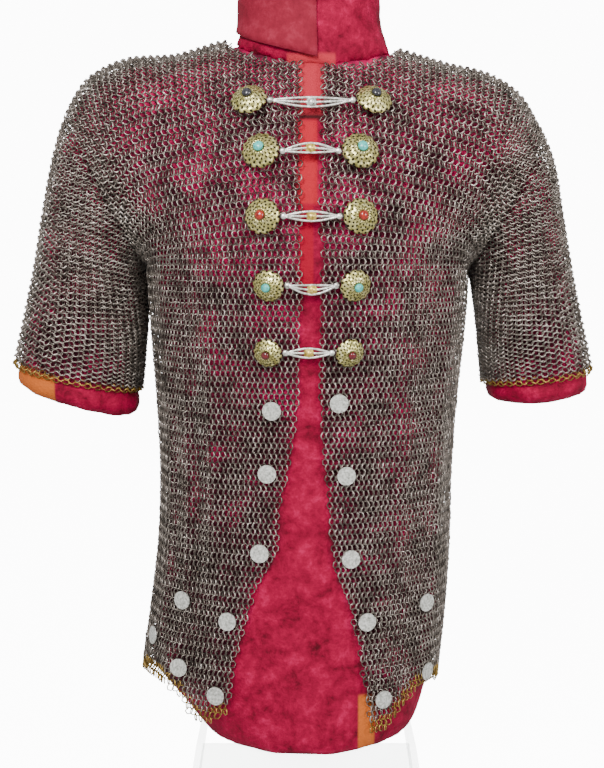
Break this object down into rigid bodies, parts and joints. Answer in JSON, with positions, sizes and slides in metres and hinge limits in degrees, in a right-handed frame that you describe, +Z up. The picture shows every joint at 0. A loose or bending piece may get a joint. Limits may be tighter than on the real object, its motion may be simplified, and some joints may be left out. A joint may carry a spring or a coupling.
{
  "type": "chainmail hauberk on a dress form",
  "caption": "Short-sleeved chainmail hauberk with domed clasps down a split front and brass-ring borders, worn by a crimson velvet dress form on a clear plinth.",
  "frame": {"origin": "centre of the underside of the base plate", "axes": "+Z is up, the garment's front faces -Y, and +X is the wearer's left"},
  "size_m": [0.6414, 0.28, 1.091],
  "materials": {
    "mail": "grey-brown riveted steel rings",
    "brass_rings": "dull brass rings",
    "gilt_bosses": "pierced pale gilt domes",
    "silver": "worn silver",
    "onyx": "polished black stone",
    "turquoise": "polished turquoise",
    "carnelian": "polished red stone",
    "garnet": "polished dark red stone",
    "velvet": "crushed crimson velvet",
    "velvet_reverse": "matte reverse of the velvet",
    "acrylic": "clear pale-green acrylic"
  },
  "bodies": {
    "root": {"back": "mail", "boss_left_1": "gilt_bosses", "boss_left_2": "gilt_bosses", "boss_left_3": "gilt_bosses", "boss_left_4": "gilt_bosses", "boss_left_5": "gilt_bosses", "boss_right_1": "gilt_bosses", "boss_right_2": "gilt_bosses", "boss_right_3": "gilt_bosses", "boss_right_4": "gilt_bosses", "boss_right_5": "gilt_bosses", "clasp_1": "silver", "clasp_2": "silver", "clasp_3": "silver", "clasp_4": "silver", "clasp_5": "silver", "cuff_left": "brass_rings", "cuff_right": "brass_rings", "disc_left_1": "silver", "disc_left_2": "silver", "disc_left_3": "silver", "disc_left_4": "silver", "disc_left_5": "silver", "disc_left_6": "silver", "disc_left_7": "silver", "disc_right_1": "silver", "disc_right_2": "silver", "disc_right_3": "silver", "disc_right_4": "silver", "disc_right_5": "silver", "disc_right_6": "silver", "disc_right_7": "silver", "disc_right_8": "silver", "form_body": "velvet", "form_collar_flap": "velvet_reverse", "form_neck": "velvet", "form_sleeve_pad_left": "velvet", "form_sleeve_pad_right": "velvet", "front_left": "mail", "front_right": "mail", "hem_back": "brass_rings", "hem_left": "brass_rings", "hem_right": "brass_rings", "plinth_base": "acrylic", "plinth_walls": "acrylic", "sleeve_left": "mail", "sleeve_right": "mail", "stone_left_1": "onyx", "stone_left_2": "turquoise", "stone_left_3": "carnelian", "stone_left_4": "turquoise", "stone_left_5": "garnet", "stone_right_1": "onyx", "stone_right_2": "turquoise", "stone_right_3": "carnelian", "stone_right_4": "turquoise", "stone_right_5": "garnet"}
  },
  "joints": []
}
